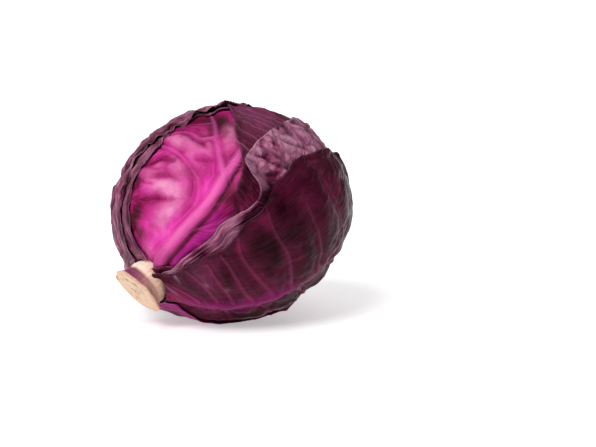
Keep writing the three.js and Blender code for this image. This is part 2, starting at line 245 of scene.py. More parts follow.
heart_angles = np.linspace(HEART_FAR_ANGLE, SOCKET_ANGLE, HEART_RINGS)
heart_turns = np.arange(HEART_SEGMENTS) / HEART_SEGMENTS * 360
heart_directions = polar_direction(*np.meshgrid(heart_angles, heart_turns, indexing="ij"))
heart_shell = heart_directions * heart_radius(heart_directions)[..., None]
socket_share = np.linspace(1, 0, SOCKET_RINGS + 1)[1:, None, None]
mouth_radius = np.linalg.norm(heart_shell[-1], axis=-1)[None, :, None]
socket_wall = SOCKET_DEPTH + (mouth_radius - SOCKET_DEPTH) * socket_share
heart_grid = np.concatenate([heart_shell, heart_directions[-1][None] * socket_wall]) + CENTRE


def node(tree, kind, sources=(), **settings):
    """A node with its own settings and inputs."""
    made = tree.nodes.new("ShaderNode" + kind)
    for setting, value in settings.items():
        setattr(made, setting, value)
    wire(tree, made, dict(sources))
    return made


def object_place(tree):
    """The place on the object, in metres."""
    return node(tree, "TexCoord").outputs["Object"]


def speckle(tree, where, scale, detail=4, roughness=0.55):
    """Cloudy noise at a place, from 0 to 1."""
    sources = {"Vector": where, "Scale": scale, "Detail": detail, "Roughness": roughness}
    return node(tree, "TexNoise", sources).outputs["Fac"]


def blended(tree, share, low, high, mode="MIX"):
    """A colour that goes from the low one to the high one as the share goes from 0 to 1."""
    return node(tree, "Mix", {0: share, 6: low, 7: high}, data_type="RGBA", blend_type=mode).outputs[2]


def reckoned(tree, operation, *values):
    """The result of one step of arithmetic, held between 0 and 1."""
    return node(tree, "Math", dict(enumerate(values)), operation=operation, use_clamp=True).outputs[0]


def ranged(tree, value, low, high, to_low=0, to_high=1):
    """A value moved from one range to another and held inside it."""
    sources = {"Value": value, "From Min": low, "From Max": high, "To Min": to_low, "To Max": to_high}
    return node(tree, "MapRange", sources).outputs["Result"]


def bumped(tree, height, strength, distance, over=None, invert=False):
    """The surface's direction with a fine relief on it, `distance` metres high, and over an
    earlier relief where one is given."""
    sources = {"Height": height, "Strength": strength, "Distance": distance}
    if over:
        sources["Normal"] = over
    return node(tree, "Bump", sources, invert=invert).outputs["Normal"]


heart_paint, tree, shade = shader("heart_leaf")
place = object_place(tree)
wire(tree, shade, {
    "Base Color": blended(tree, speckle(tree, place, 60), "5a1840", "9a4a7c"), "Roughness": 0.55,
    "Normal": bumped(tree, speckle(tree, place, 220), 0.4, 0.0008)})
heart_points, heart_faces = closed_by_fans(
    CENTRE - stem_axis * float(heart_radius(-stem_axis[None])[0]), heart_grid,
    CENTRE + stem_axis * SOCKET_DEPTH)
add_piece("heart_ball", "heart", heart_points, heart_faces, heart_paint)

# Stem. The pale woody core that the leaves grow from, sawn off a little way outside them. It
# widens to the cut, whose face leans, and carries the scars of leaves that were pulled off. Each
# row of its profile is a distance from the head's middle, a radius, and how lobed it is there.
CONE_ANGLE = np.radians(11.3)
CUT_DISTANCE = 92
FACE_DISTANCE = 91.6
CUT_LEAN = (-0.107, -0.043)
LEAN_START = 84
CORE_TIP = 30.6
STEM_STEPS = 150
STEM_TURNS = 190
FACE_ROW = 9
BAND_START = 83.5
BAND_END = 91
LATTICE_SEED = 11
LATTICE_SIZE = 32
LATTICE_START = 100
SEED_STEP = 7.31

stem_profile = np.array([
    (31, 3.2, 0), *((run, run * np.tan(CONE_ANGLE), 0) for run in (38, 54, 70, 80)), (84, 15.6, 0.2),
    (87.5, 16.4, 0.6), (89.6, 18.0, 1), (90.8, 18.9, 1), (91.5, 19.0, 1), (91.9, 18.5, 1),
    (92.05, 17.7, 1), (91.9, 16.0, 1), (91.7, 9, 1), (FACE_DISTANCE, 1.2, 1)])
profile_run = np.concatenate([[0], np.cumsum(np.hypot(*np.diff(stem_profile[:, :2], axis=0).T))])
fine_run = np.linspace(0, 1, STEM_STEPS) ** 0.8 * profile_run[-1]
along, radius, lobed = (np.interp(fine_run, profile_run, stem_profile[:, k])[:, None] for k in range(3))
turn = np.arange(STEM_TURNS)[None, :] / STEM_TURNS * 2 * np.pi
lobes = 1 + 0.05 * np.cos(2 * turn - 0.9) + 0.03 * np.cos(5 * turn + 0.4)
lobes = lobes + 0.015 * np.cos(11 * turn + 2)
lattice = np.random.default_rng(LATTICE_SEED).random((LATTICE_SIZE,) * 3) * 2 - 1


def noise(spot, size, seed=0):
    """Random values from -1 to 1 on a cubic lattice, `size` apart, joined smoothly."""
    q = spot / size + seed * SEED_STEP + LATTICE_START
    cell = np.floor(q).astype(int)
    share = smooth(q - cell)
    total = 0
    for corner in np.ndindex(2, 2, 2):
        weight = np.prod(np.where(np.array(corner) == 1, share, 1 - share), axis=-1)
        at = (cell + corner) % LATTICE_SIZE
        total = total + weight * lattice[at[..., 0], at[..., 1], at[..., 2]]
    return total


def stem_point(along, radius, turn):
    """A point on the leaning stump: the radius turns round the stem's axis, and near the cut the
    distance along it changes in proportion to the sideways place."""
    u, v = radius * np.cos(turn), radius * np.sin(turn)
    lean = smooth((along - LEAN_START) / (CUT_DISTANCE - 2 - LEAN_START))
    z = along - lean * (u * CUT_LEAN[0] + v * CUT_LEAN[1])
    return CENTRE + z[..., None] * stem_axis + u[..., None] * stem_up + v[..., None] * stem_side


on_face = smooth((fine_run - profile_run[FACE_ROW]) / 1.5)[:, None] + 0 * turn
stem_radius = radius * (1 + lobed * (lobes - 1))
flat_spot = joined(stem_radius * np.cos(turn), stem_radius * np.sin(turn), along * 0.5)
fibres = noise(joined(np.cos(turn) * 26, np.sin(turn) * 26, along * 0.18), 2.2)
knots = noise(flat_spot, 5.0, 3)
stem_radius = stem_radius + (1 - on_face) * smooth((along - 70) / 6) * (0.5 * fibres + 0.6 * knots)
cut_ripple = on_face * (0.45 * noise(flat_spot, 6.5, 5) + 0.25 * noise(flat_spot, 1.8, 6))
stem_grid = stem_point(along + cut_ripple + 0 * turn, stem_radius, turn + 0 * along)
face_x = stem_radius * np.cos(turn)
face_y = stem_radius * np.sin(turn)
axis_ends = stem_point(np.array([CORE_TIP, FACE_DISTANCE]), np.zeros(2), np.zeros(2))
stem_points, stem_faces = closed_by_fans(axis_ends[0], stem_grid[:, ::-1], axis_ends[1])


def with_ends(values):
    """The marks of a grid of rings, with those of its first and last point added."""
    values = np.broadcast_to(values, (STEM_STEPS, STEM_TURNS))[:, ::-1]
    return np.concatenate([values[0, :1], values.ravel(), values[-1, :1]])


def mark(tree, name, output="Fac"):
    """A mark that each point carries, as a material reads it."""
    return node(tree, "Attribute", attribute_name=name).outputs[output]


stem_paint, tree, shade = shader("stem_wood")
place = object_place(tree)
clouds = speckle(tree, place, 150)
grain = speckle(tree, place, 620, 5)
spots = ranged(tree, speckle(tree, place, 260, 2), 0.56, 0.72)
side_colour = blended(tree, clouds, "b98c76", "e2bfa8")
side_colour = blended(tree, mark(tree, "band"), side_colour, "7c3358")
side_colour = blended(tree, mark(tree, "scar"), side_colour, "f6e0d0")
face_colour = blended(tree, clouds, "c9a588", "e2ccb4")
face_colour = blended(tree, spots, face_colour, "d2965f")
face_colour = blended(tree, mark(tree, "swirl"), face_colour, "8a6e48")
colour = blended(tree, mark(tree, "face"), side_colour, face_colour)
colour = blended(tree, reckoned(tree, "MULTIPLY", grain, 0.35), colour, "fff0dc", "MULTIPLY")
wire(tree, shade, {
    "Base Color": colour, "Roughness": 0.62, "Subsurface Weight": 0.15, "Subsurface Scale": 0.5,
    "Subsurface Radius": (0.004, 0.002, 0.001), "Normal": bumped(tree, grain, 0.5, 0.0006)})
face_turn = np.arctan2(face_y, face_x)
swirl_ring = bell((np.hypot(face_x - 5, face_y + 1) - 6.5 - 1.2 * np.sin(3 * face_turn)) / 1.6)
brown_edge = smooth((np.hypot(face_x, face_y) - 15.5) / 2.5) * smooth(0.2 + 1.5 * noise(flat_spot, 5, 10))
swirl = on_face * np.maximum(swirl_ring * smooth(0.4 + noise(flat_spot, 3.5, 9)), 0.7 * brown_edge)
up_side = bell(np.angle(np.exp(1j * (turn + np.radians(10)))) / 0.95) ** 0.5
band = (1 - on_face) * up_side * smooth((BAND_END - along) / 1.2) * smooth((along - BAND_START) / 1.5)
scar_side = bell(np.angle(np.exp(1j * (turn - np.radians(5)))) / 1.1)
scar = (1 - on_face) * scar_side * smooth(BAND_START - along)
add_piece("stem_stump", "stem", stem_points, stem_faces, stem_paint, face=with_ends(on_face),
          band=with_ends(band), scar=with_ends(scar), swirl=with_ends(swirl))

# Front leaf. The innermost leaf that shows: a thick pink midrib crosses it, with arching side
# veins and puffed cells between them. All wrapper leaves are cut from a flat map of the sphere,
# which touches it 85 degrees from the stem and has x to the right and y away from the stem.
MAP_ANGLE = 85
BASE_ANGLE = 12.1
BASE_STEP = 0.2
OUTLINE_STEPS = 88
OUTLINE_FINE = 10
BALL_RADIUS = 76.0
MARGIN_WAVE = 0.5
ORDER_SPACING = 40.0
FAR = 1e9
TINY = 1e-9
CREST_POWER = 6
CREASE_DEPTH = 1.3
VEIN_START = -62
VEIN_STEP = 15
FOLD_DEPTH = 0.0025
STREAK_DEPTH = 0.0006
GRAIN_DEPTH = 0.0004
CLOUD_SCALE = 90
GRAIN_SCALE = 520


def closed_curve(points, start, end, steps):
    """Centripetal Catmull-Rom curve through a closed ring of points, from one point to a later
    one, cut into steps of even length."""
    count = len(points)
    at = np.linspace(start, end, steps * OUTLINE_FINE + 1)
    first = np.minimum(np.floor(at).astype(int), end - 1)
    p = [points[(first + k) % count] for k in (-1, 0, 1, 2)]
    gap = [np.maximum(np.linalg.norm(p[k + 1] - p[k], axis=1), TINY) ** 0.5 for k in range(3)]
    t = [0 * at, *np.cumsum(gap, axis=0)]
    now = t[1] + (at - first) * gap[1]

    def between(a, b, ta, tb):
        return a * ((tb - now) / (tb - ta))[:, None] + b * ((now - ta) / (tb - ta))[:, None]

    a = [between(p[k], p[k + 1], t[k], t[k + 1]) for k in range(3)]
    b = [between(a[k], a[k + 1], t[k], t[k + 2]) for k in range(2)]
    dense = between(b[0], b[1], t[1], t[2])
    run = np.concatenate([[0], np.cumsum(np.linalg.norm(np.diff(dense, axis=0), axis=1))])
    wanted = np.arange(steps) / steps * run[-1]
    return joined(*(np.interp(wanted, run, column) for column in dense.T))


def open_curve(points, steps=7):
    """Smooth curve through the points of an open line, whose ends are doubled."""
    points = np.array(points, float)
    ends = np.vstack([2 * points[0] - points[1], points, 2 * points[-1] - points[-2]])
    pieces = [closed_curve(ends, k, k + 1, steps) for k in range(1, len(points))]
    return np.vstack([*pieces, points[-1:]])


def beside(place, start, run):
    """For each place, the share along a straight piece at which it is nearest, and how far right
    of and above that point it lies. The piece has a start and a run."""
    right, up = place[:, 0] - start[0], place[:, 1] - start[1]
    share = np.clip((right * run[0] + up * run[1]) / (run @ run), 0, 1)
    return share, right - share * run[0], up - share * run[1]


def nearest(place, path):
    """For each place, its distance to the nearest piece of a line, how far along the line that
    is, from 0 to 1, and on which side of the line it lies."""
    pieces = np.diff(path, axis=0)
    run = np.concatenate([[0], np.cumsum(np.linalg.norm(pieces, axis=1))])
    best, share, side = np.full(len(place), FAR), np.zeros(len(place)), np.ones(len(place))
    for k, (start, piece) in enumerate(zip(path, pieces)):
        t, right, up = beside(place, start, piece)
        distance = np.hypot(right, up)
        closer = distance < best
        best = np.where(closer, distance, best)
        share = np.where(closer, (run[k] + t * (run[k + 1] - run[k])) / run[-1], share)
        side = np.where(closer, np.where(piece[0] * up < piece[1] * right, 1.0, -1.0), side)
    return best, share, side


class Leaf:
    """One wrapper leaf: its map, its outline, its veins and how its blade is raised. The puff is
    the height of its cells, the valley is how wide the veins hold the blade down, the wrinkle is
    the height of its creases, and the lift is how high and how unevenly its margin stands up."""

    def __init__(self, name, order, azimuth, clasp, cells, middle, tip, right, left, puff, valley,
                 wrinkle, lift, tuck=0.3):
        self.node, self.piece = "leaf_" + name, name + "_leaf"
        self.order, self.cells, self.middle = order, cells, np.array(middle, float)
        self.puff, self.valley, self.wrinkle, self.lift, self.tuck = puff, valley, wrinkle, lift, tuck
        self.out = polar_direction(MAP_ANGLE, azimuth)
        self.away = polar_direction(MAP_ANGLE + 90, azimuth)
        self.right = np.cross(self.away, self.out)
        base_angle = BASE_ANGLE + BASE_STEP * order
        shares = np.array([0, -0.5, -1, 1, 0.5])
        base = self.to_map(polar_direction(base_angle, azimuth + shares * clasp))
        points = np.array([*base[:3], *right, tip, *left, *base[3:]], float)
        tip_at = 3 + len(right)
        places = np.vstack([closed_curve(points, 0, tip_at, OUTLINE_STEPS),
                            closed_curve(points, tip_at, len(points), OUTLINE_STEPS)])
        spot = joined(*places.T, ORDER_SPACING * order)
        wave = MARGIN_WAVE * (0.8 * noise(spot, 9.0) + 0.45 * noise(spot, 4.0, 2))
        places = places + unit(places - self.middle) * (wave * smooth((places[:, 1] + 75) / 25))[:, None]
        direction = self.from_map(places)
        azimuths = np.degrees(np.arctan2(direction @ stem_side, direction @ stem_up))
        moved = self.to_map(polar_direction(base_angle, azimuths))
        self.outline = np.where((angle_from_stem(direction) < base_angle)[:, None], moved, places)

    def from_map(self, place):
        """cos(r) out plus sin(r) times the sideways direction, where r is the distance on the map."""
        reach = np.maximum(np.hypot(place[..., 0], place[..., 1]), TINY)[..., None]
        sideways = place[..., :1] * self.right + place[..., 1:] * self.away
        return np.cos(np.radians(reach)) * self.out + np.sin(np.radians(reach)) / reach * sideways

    def to_map(self, direction):
        """The sideways parts of the direction, drawn out to the angle from the map's middle."""
        x, y = direction @ self.right, direction @ self.away
        side = np.maximum(np.hypot(x, y), TINY)
        reach = np.degrees(np.arctan2(side, direction @ self.out)) / side
        return joined(x * reach, y * reach)

    def inset(self, place):
        """Distance from the outline, above 0 inside it and below 0 outside."""
        best = np.full(len(place), FAR)
        inside = np.zeros(len(place), bool)
        x, y = place.T
        for a, b in zip(self.outline, np.roll(self.outline, -1, axis=0)):
            run = b - a
            _, right, up = beside(place, a, run)
            best = np.minimum(best, right ** 2 + up ** 2)
            if a[1] != b[1]:
                spans = (a[1] > y) != (b[1] > y)
                inside ^= spans & (x - a[0] < run[0] * (y - a[1]) / run[1])
        return np.sqrt(best) * np.where(inside, 1, -1)

    def vein_field(self, place):
        """Height of the veins' ridges in millimetres, how pale they are, and the distance to the
        nearest vein. A ridge has the form 1 / (1 + (distance / half width) to the 6th), and a
        narrow groove runs along its right side where the vein asks for one."""
        height, pale, gap = np.zeros(len(place)), np.zeros(len(place)), np.full(len(place), FAR)
        for points, widths, heights, pales, groove in self.veins:
            distance, share, side = nearest(place, open_curve(points))
            width = widths[0] + (widths[1] - widths[0]) * share
            rise = heights[0] + (heights[1] - heights[0]) * share
            ridge = 1 / (1 + (distance / width) ** CREST_POWER)
            cut = groove * bell((side * distance - 1.7 * width) / (0.55 * width))
            room = 1 - 0.6 * np.clip(height / 3, 0, 1)
            height = height + np.maximum(rise * ridge, 0) * room - cut * rise
            crest = bell((distance / (1.02 * width)) ** 2)
            pale = np.maximum(pale, (pales[0] + (pales[1] - pales[0]) * share) * crest)
            gap = np.minimum(gap, distance - 0.5 * width)
        return height, pale, np.maximum(gap, 0)


def patches(place, spots):
    """The sum of soft round patches: each has a place, two half widths, a turn and an amount."""
    total = np.zeros(len(place))
    for x, y, wide, high, turn, amount in spots:
        c, s = np.cos(np.radians(turn)), np.sin(np.radians(turn))
        dx, dy = place[:, 0] - x, place[:, 1] - y
        total += amount * bell(np.hypot((c * dx + s * dy) / wide, (c * dy - s * dx) / high))
    return total


def leaf_paint(leaf, shades, bloom_and_highlight, pale, rim, gloss, dullness, folding, fold_scale, shine=0.07,
               rim_highlight_share=0.4, accent=None, stops=(0.0, 0.35, 0.7, 1.0)):
    """Leaf skin: a ramp of shades by tone, then an accent, a waxy bloom that in places also carries
    painted highlights, pale veins and a painted highlight along the margin where the marks say so,
    over cloudy and streaky variation. Fine folds follow the lines where noise crosses its middle:
    ridges where folding is above 0, creases below, with painted light on the ridges and painted
    shade in the creases. The shades are colour codes, one for the tone at each stop."""
    material, tree, shade = shader(leaf.piece + "_skin")
    place = object_place(tree)
    grain = mark(tree, "grain", "Vector")
    clouds = speckle(tree, place, CLOUD_SCALE, 6, 0.6)
    streaks = speckle(tree, grain, 1.0, 4, 0.6)
    bent = reckoned(tree, "PINGPONG", speckle(tree, grain, fold_scale, 3, 0.5), 0.5)
    folds = ranged(tree, bent, 0.38, 0.5)
    tone = reckoned(tree, "ADD", mark(tree, "tone"), ranged(tree, clouds, 0.3, 0.7, -0.1, 0.1))
    tone = reckoned(tree, "ADD", tone, ranged(tree, streaks, 0.3, 0.7, -0.05, 0.05))
    # Painted light and shade: the tone follows the folds' relief, lighter where they rise and darker where
    # they sink.
    tone = reckoned(tree, "ADD", tone, ranged(tree, folds, 0, 1, -0.4 * folding, 0.6 * folding))
    ramp = node(tree, "ValToRGB", {"Fac": tone})
    elements = ramp.color_ramp.elements
    while len(elements) < len(stops):
        elements.new(0.5)
    for element, stop, code in zip(elements, stops, shades.split()):
        element.position = stop
        element.color = linear(code)
    colour = ramp.outputs["Color"]
    if accent:
        colour = blended(tree, mark(tree, "accent"), colour, accent)
    # Waxy bloom, which in places also carries painted highlights; it dulls the surface where it lies.
    dust_and_highlight = reckoned(tree, "MULTIPLY", mark(tree, "bloom_and_highlight"), ranged(tree, clouds, 0.35, 0.65, 0.6, 1.15))
    colour = blended(tree, dust_and_highlight, colour, bloom_and_highlight)
    colour = blended(tree, mark(tree, "vein"), colour, pale)
    # Painted highlight: a light line along the leaf's margin, as if its edge caught the light.
    colour = blended(tree, reckoned(tree, "MULTIPLY", mark(tree, "rim"), rim_highlight_share), colour, rim)
    relief = bumped(tree, folds, 0.9, FOLD_DEPTH * abs(folding), invert=folding < 0)
    relief = bumped(tree, streaks, 0.25, STREAK_DEPTH, relief)
    relief = bumped(tree, speckle(tree, place, GRAIN_SCALE, 5, 0.6), 0.25, GRAIN_DEPTH, relief)
    wire(tree, shade, {"Base Color": colour, "Roughness": ranged(tree, dust_and_highlight, 0, 1, gloss, dullness),
                       "Specular IOR Level": shine, "Normal": relief})
    return material


front = Leaf(
    "front", 0, azimuth=-60, clasp=62, cells=200, middle=(0, 2), tip=(-6, 96),
    right=[(28, -68), (48, -45), (62, -15), (66, 20), (56, 55), (30, 84)],
    left=[(-40, 86), (-66, 60), (-84, 28), (-90, -8), (-82, -38), (-62, -60), (-38, -72)],
    puff=2.6, valley=3.4, wrinkle=0.5, lift=(0, 0))
front_midrib = [
    (0, -76), (-3, -68), (-5, -62), (-6, -47), (-7, -33), (-8, -21), (-12, -8), (-16, 7), (-21, 22)]
midrib_widths = (4.4, 1.6)
front.veins = [
    (front_midrib, midrib_widths, (3.8, 1.5), (0.45, 0.7), 0.1),
    ([(-8, -24), (-10, -9), (-17, -3), (-26, 3), (-35, 10), (-47, 20), (-59, 29)],
     (1.9, 0.9), (1.7, 0.7), (0.75, 0.3), 0.3),
    ([(-62, -13), (-43, -12), (-30, -14), (-22, -16), (-17, -20), (-13, -25), (-12, -34), (-13, -44)],
     (1.0, 0.8), (1.1, 0.5), (0.4, 0.15), 0.5),
    ([(-74, -8), (-62, 1), (-50, 4), (-42, 3), (-36, 9)], (0.9, 1.3), (1.0, 1.8), (0.2, 0.45), 1.4),
    ([(-68, 8), (-56, 14), (-47, 20)], (0.7, 0.9), (0.5, 0.8), (0.15, 0.3), 0.6),
    ([(-3, -36), (2, -26), (5, -16), (7, -4)], (0.7, 0.4), (0.4, 0.2), (0.2, 0.1), 0.4),
]
front_creases = [
    [(-62, -34), (-54, -26), (-50, -20), (-42, -17), (-34, -17)],
    [(-48, -36), (-43, -30), (-36, -25), (-28, -23)],
    [(-49, -52), (-40, -46), (-32, -39), (-25, -34), (-18, -27)],
    [(-55, 1), (-42, 2), (-30, 0), (-27, -1)],
    [(-37, -11), (-29, -6), (-20, -1)],
    [(-74, -26), (-64, -22), (-56, -16)],
]


def blade_relief(leaf, edge, gap, spot):
    """Height of the blade: puffed cells that rise with the distance from the veins, soft random
    swellings of three sizes, and sharp creases where bent noise crosses 0. Also how high each cell
    is puffed, held down in the creases, which most leaves' marks use to paint light on the cell tops
    and shade in the creases."""
    cell = (1 - bell(gap / leaf.valley)) * smooth(edge / 9)
    bent = spot + 2.5 * noise(spot, 8, leaf.order + 21)[:, None]
    crease = bell(noise(bent, 9, leaf.order + 23) / 0.22)
    crease = crease * smooth(0.5 + 1.5 * noise(spot, 13, leaf.order + 24))
    swell = 0.6 * noise(spot, 17, leaf.order) + leaf.wrinkle * noise(spot, 6.5, leaf.order + 9)
    swell = swell + 0.35 * leaf.wrinkle * noise(spot, 2.7, leaf.order + 17)
    swell = swell - CREASE_DEPTH * leaf.wrinkle * crease
    # The second value is held low in the creases, for painted shade there.
    return leaf.puff * cell + swell * smooth(edge / 5 + 0.3), cell * (1 - 0.7 * crease)


def front_relief(place, edge, spot):
    """Blade and rib heights of the front leaf with its marks: painted shadow darkens the midrib's right
    flank, the blade right of the midrib and the blade near its left margin, under the leaves over it;
    painted light brightens the blade beside the midrib's left side and along its crest. Maroon,
    violet and dusty pink patches lie where the real blade is thin, thick or puffed, the dusty pink
    partly painted highlight on the cell tops. Dark creases part the puffed cells and fade out at
    their ends, darkened as painted shade, and the cell tops are painted lighter."""
    ridge, pale, gap = front.vein_field(place)
    crease = np.zeros(len(place))
    for points in front_creases:
        distance, share, side = nearest(place, open_curve(points))
        fade = smooth(share / 0.4) * smooth((1 - share) / 0.4)
        gap = np.minimum(gap, distance + 4 * (1 - fade))
        crease = np.maximum(crease, fade * bell(distance / 1.3))
    blade, cell = blade_relief(front, edge, gap, spot)
    blade = blade - 0.5 * crease
    distance, share, side = nearest(place, open_curve(front_midrib))
    rightward = side * distance
    width = midrib_widths[0] + (midrib_widths[1] - midrib_widths[0]) * share
    tone = 0.55 + 0.12 * noise(spot, 11, 40) + patches(place, [
        (-26, -61, 5, 5, 30, -0.3), (-36, -53, 6, 9, 0, -0.5), (-70, 12, 18, 12, -20, -0.4),
        (-47, 22, 22, 9, -20, -0.5), (-55, -47, 9, 15, 10, -0.4), (-10, -72, 9, 4, 0, -0.15),
        (-52, -24, 6, 5, 0, -0.12), (-16, -27, 4, 9, 10, -0.12), (-3, -14, 5, 9, 0, -0.3),
        (-4, -64, 5, 9, 0, -0.2)])
    # Painted light on the blade beside the midrib's left side.
    tone = tone + 0.2 * bell((rightward + 2.2 * width) / 3.5) * smooth((0.75 - share) / 0.2)
    # Painted shadow on the midrib's right flank; below it, painted shade in the creases and painted light on
    # the cell tops.
    flank = bell((rightward - 1.5 * width) / (0.45 * width)) * smooth((share - 0.03) / 0.1)
    tone = tone - 0.5 * flank - 0.12 * crease + 0.12 * (cell - 0.5)
    # Painted shadow near the left margin, under the leaves over it, and painted shade right of the midrib.
    tone = tone - 0.4 * smooth((17 - edge) / 11) * (place[:, 0] < -30)
    tone = tone - 0.12 * smooth((rightward - 2 * width) / 3)
    strip = smooth((rightward - 1.6 * width) / 1.5) * smooth((0.62 - share) / 0.15)
    accent = strip * (0.55 + 0.4 * noise(spot, 9, 41)) * smooth((0.1 + share) / 0.12)
    # Bloom on the puffed cells, strongest on their tops: partly waxy bloom, partly painted highlight.
    bloom_and_highlight = cell * patches(place, [
        (-39, -30, 10, 7, 0, 0.85), (-26, -30, 8, 6, 0, 0.8), (-19, -38, 7, 5, 0, 0.6),
        (-17, -45, 6, 5, 0, 0.4), (-52, -6, 11, 6, 0, 0.7), (-30, 13, 7, 8, 30, 0.7),
        (-38, -14, 10, 6, 0, 0.75), (-37, 1, 9, 5, 0, 0.6), (-13, -68, 6, 6, 0, 0.5),
        (-62, -38, 8, 20, 20, 0.2), (-17, -45, 7, 8, 0, 0.3)])
    # Painted highlight along the midrib's crest.
    bloom_and_highlight = bloom_and_highlight + 0.55 * bell((rightward + 0.25 * width) / (0.42 * width)) * smooth((share - 0.12) / 0.2)
    grain = vein_grain(place, gap + rightward * bell(rightward / 7))
    return ridge, blade, tone, accent, bloom_and_highlight, pale, grain


def vein_grain(place, gap):
    """Streaks that run beside the veins: fine steps with the distance from the nearest vein and
    long ones along the map."""
    return joined(gap / 0.9, *place.T / 9)


front.relief = front_relief
front.paint = leaf_paint(
    front, "3a0318 6d0e3a aa1f70 cc2f94 e04fae", stops=(0.0, 0.25, 0.5, 0.72, 1.0),
    bloom_and_highlight="d88ab0", pale="e05cac", rim="b87898", gloss=0.42, dullness=0.62, folding=-0.11,
    fold_scale=0.4, rim_highlight_share=0.5, accent="8c0c74")

# Crown leaf. A thin inner leaf that closes the back of the head and is nearly covered by others.
crown = Leaf(
    "crown", 1, azimuth=150, clasp=55, cells=120, middle=(0, 12), tip=(0, 112),
    right=[(30, -62), (52, -30), (64, 8), (62, 48), (42, 86)],
    left=[(-42, 86), (-62, 48), (-64, 8), (-52, -30), (-30, -62)],
    puff=1.0, valley=5.0, wrinkle=0.3, lift=(0.4, 0.4))


def side_veins(spread, width, rise, pale):
    """A midrib up the middle of the map and side veins that leave it on both sides in turn,
    running outwards and away from the stem along a parabola with a slow wave in it. Their steps
    and slopes vary with a sine of their number."""
    middle = [(0, y) for y in range(-76, 80, 12)]
    veins = [(middle, (width * 2.6, width), (rise * 2.4, rise * 0.6), (pale * 1.2, pale * 0.4), 0.0)]
    x = np.linspace(0, 60, 7)
    for k in range(9):
        for side in (-1, 1):
            uneven = np.sin(2.3 * k + 1.3 * side)
            start = VEIN_START + VEIN_STEP * k + side * VEIN_STEP * 0.22 + 0.25 * VEIN_STEP * uneven
            slope = spread * (1 + 0.25 * np.sin(1.7 * k - side))
            y = start + slope * x - 0.3 * x * x / 60 + 1.6 * uneven * np.sin(x / 9)
            veins.append((joined(side * x, y), (width, width * 0.5), (rise, rise * 0.4),
                          (pale, pale * 0.3), 0.0))
    return veins


def plain_relief(leaf, base_tone, base_bloom, margin_bounce_light=0.0):
    """Relief and marks of a leaf with side veins all along its midrib, with the cell tops painted
    lighter as painted light and more bloom there, partly painted highlight. The accent paints
    reflected light from the table on the margin on its left, as strongly as asked."""

    def relief(place, edge, spot):
        ridge, pale, gap = leaf.vein_field(place)
        blade, cell = blade_relief(leaf, edge, gap, spot)
        # Painted light: the cell tops are lighter and carry more bloom.
        tone = base_tone + 0.12 * noise(spot, 22, leaf.order + 3) + 0.18 * cell
        bloom_and_highlight = base_bloom * (0.55 + 0.45 * noise(spot, 15, leaf.order + 5)) * (0.4 + 0.6 * cell)
        # Painted reflected light from the table along the left margin.
        accent = margin_bounce_light * smooth((16 - edge) / 12) * (place[:, 0] < 0)
        return ridge, blade, tone, accent, bloom_and_highlight * (1 - accent), pale, vein_grain(place, gap)

    return relief


crown.veins = side_veins(0.6, 1.1, 0.7, 0.35)
crown.relief = plain_relief(crown, 0.4, 0.4)
crown.paint = leaf_paint(
    crown, "2c0414 5c1038 8c2c62 a84a80", stops=(0.0, 0.4, 0.75, 1.0),
    bloom_and_highlight="94557a", pale="a05e88", rim="b88aa4", gloss=0.42, dullness=0.62, folding=-0.2,
    fold_scale=0.55, shine=0.1)

# Left leaf. A dull mauve leaf folded round the left side of the head, with ridges that follow
# its ragged margin.
left = Leaf(
    "left", 2, azimuth=70, clasp=70, cells=180, middle=(2, 2), tip=(22, 94),
    right=[(21, -83), (30, -72), (37, -65), (43, -58), (49, -50), (53, -42), (57, -33), (63, -27),
           (65, -18), (64, -6), (64, 8), (67, 25), (68, 44), (52, 76)],
    left=[(-14, 90), (-44, 72), (-62, 42), (-68, 8), (-62, -26), (-44, -54), (-30, -68)],
    puff=1.2, valley=4.5, wrinkle=0.5, lift=(0.25, 1.0), tuck=0.95)
left.veins = side_veins(0.8, 1.0, 0.8, 0.25)


def folded_relief(leaf, rise, reach, dusty=()):
    """Relief and marks of a leaf with sharp folds that follow its margin: one minus the size of
    smooth noise that is stretched along the margin, at two widths. The fold ridges and cell tops
    are painted lighter and the ridges carry more bloom, as painted highlight."""

    def relief(place, edge, spot):
        ridge, pale, gap = leaf.vein_field(place)
        blade, cell = blade_relief(leaf, edge, gap, spot)
        turn = np.arctan2(place[:, 0] - leaf.middle[0], place[:, 1] - leaf.middle[1])
        bent = edge + 2.4 * noise(spot, 9, leaf.order + 32)
        near_margin = smooth((reach - edge) / (0.6 * reach))
        run = joined(bent / 3.4, 2.7 * np.sin(turn), 2.7 * np.cos(turn))
        wide = 1 - np.abs(noise(run, 1.0, leaf.order + 30)) * 2.2
        fine = 1 - np.abs(noise(run * 2.1, 1.0, leaf.order + 31)) * 2.2
        folds = near_margin * (0.5 * wide + 0.5 * fine)
        blade = blade + rise * (folds + 0.7 * near_margin * noise(spot, 5.5, leaf.order + 33))
        # Painted highlight: the fold ridges and cell tops are lighter, and the ridges carry more bloom.
        tone = 0.32 + 0.12 * noise(spot, 20, leaf.order + 3) + 0.1 * cell + 0.6 * folds
        tone = tone - 0.12 * near_margin
        bloom_and_highlight = np.clip(0.12 + 0.25 * noise(spot, 13, leaf.order + 5) + 0.6 * folds, 0, 1) * 0.8
        bloom_and_highlight = bloom_and_highlight + patches(place, dusty)
        ringed = joined(bent / 0.9, 6 * np.sin(turn), 6 * np.cos(turn))
        share = near_margin[:, None]
        grain = share * ringed + (1 - share) * vein_grain(place, gap)
        return ridge, blade, tone, 0 * tone, bloom_and_highlight, pale, grain

    return relief


left.relief = folded_relief(left, 1.6, 30)
left.paint = leaf_paint(
    left, "24040f 52142f 7c2f50 9a5a78",
    bloom_and_highlight="a46a84", pale="98566f", rim="b08a98", gloss=0.48, dullness=0.68, folding=0.7,
    fold_scale=0.42, rim_highlight_share=0.35)

